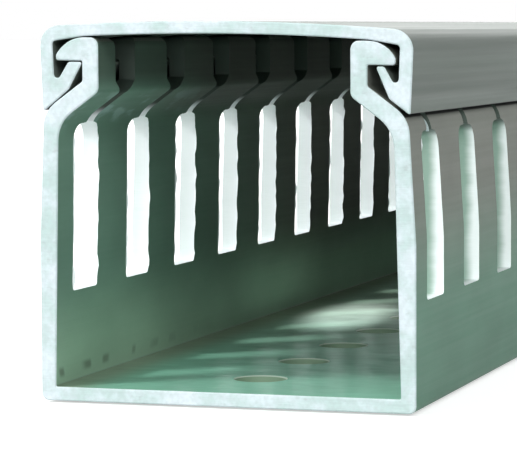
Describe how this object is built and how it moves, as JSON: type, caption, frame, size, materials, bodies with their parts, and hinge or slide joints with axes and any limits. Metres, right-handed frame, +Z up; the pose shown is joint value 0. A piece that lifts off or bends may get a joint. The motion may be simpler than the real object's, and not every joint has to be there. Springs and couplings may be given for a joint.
{
  "type": "slotted wire duct",
  "caption": "Slotted plastic wire duct: a punched channel whose side walls break into hook-headed fingers, with a push-on cover over the heads.",
  "frame": {"origin": "middle of the length and width, on the underside of the floor", "axes": "+X across the duct, +Y along it away from the end that is seen, +Z up from the panel to the cover"},
  "size_m": [0.032, 0.9144, 0.0313],
  "materials": {
    "base_pvc": "grey rigid PVC, satin, paler on the cut edges",
    "cover_pvc": "grey rigid PVC, satin, faint lengthwise lines"
  },
  "bodies": {
    "base": {"duct_base": "base_pvc"},
    "cover": {"cover": "cover_pvc"}
  },
  "joints": [
    {"name": "cover_slide", "type": "slide", "parent": "base", "child": "cover", "axis": [0, 1, 0], "range_m": [-0.9144, 0.9144]}
  ]
}
